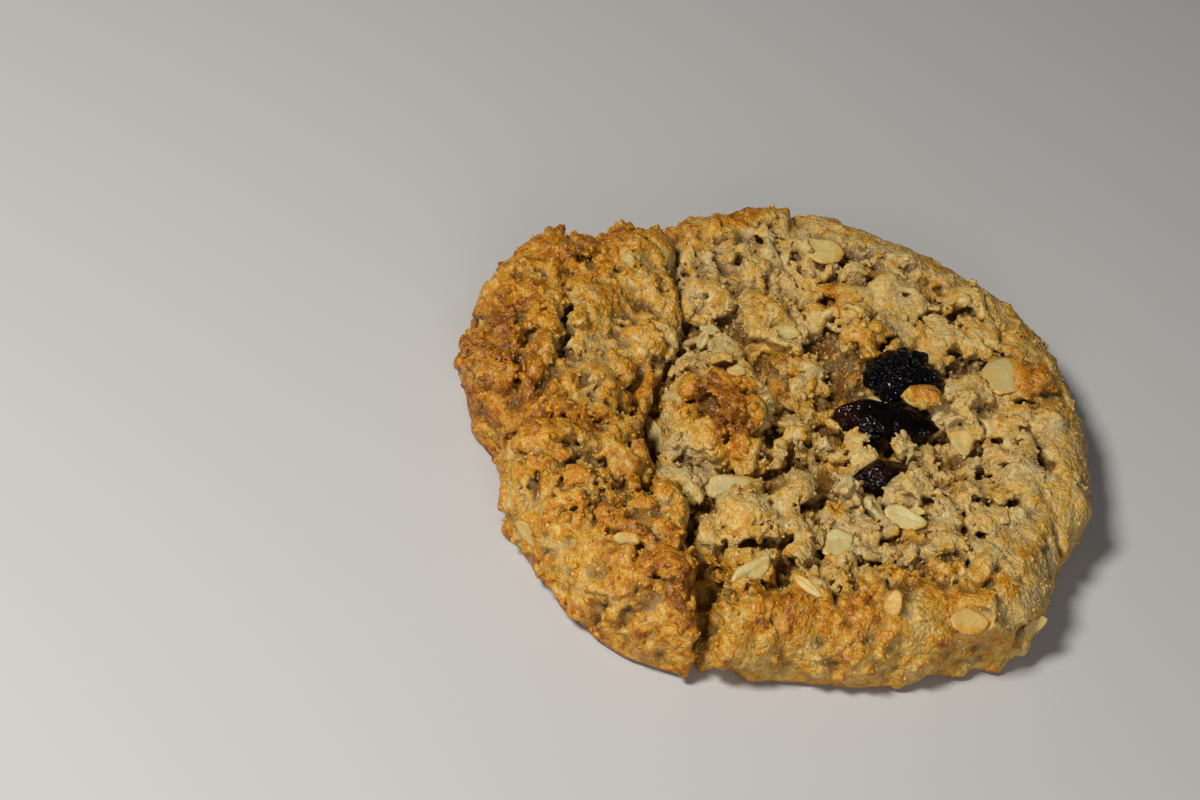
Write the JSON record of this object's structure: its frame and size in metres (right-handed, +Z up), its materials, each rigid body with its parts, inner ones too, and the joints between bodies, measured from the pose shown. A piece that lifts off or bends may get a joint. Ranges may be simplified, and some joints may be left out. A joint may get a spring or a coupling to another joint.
{
  "type": "oatmeal raisin cookie",
  "caption": "Round baked oatmeal cookie with a rounded rim, a lumpy cracked top and plump raisins set in it; lies flat on its base.",
  "frame": {"origin": "middle of the cookie's flat underside, under the middle of its bounding box", "axes": "+Z up out of the lumpy top; -Y towards the rim that split open; -X towards the strongly browned slab"},
  "size_m": [0.0808, 0.0858, 0.0133],
  "materials": {
    "dough": "matte baked dough, pale beige in the middle and golden brown at the rim and on the raised lumps",
    "raisin": "glossy, wrinkled, nearly black raisin skin"
  },
  "bodies": {
    "root": {"dough": "dough", "raisin_wrinkled": "raisin", "raisin_glossy": "raisin", "raisin_sunken": "raisin"}
  },
  "joints": []
}
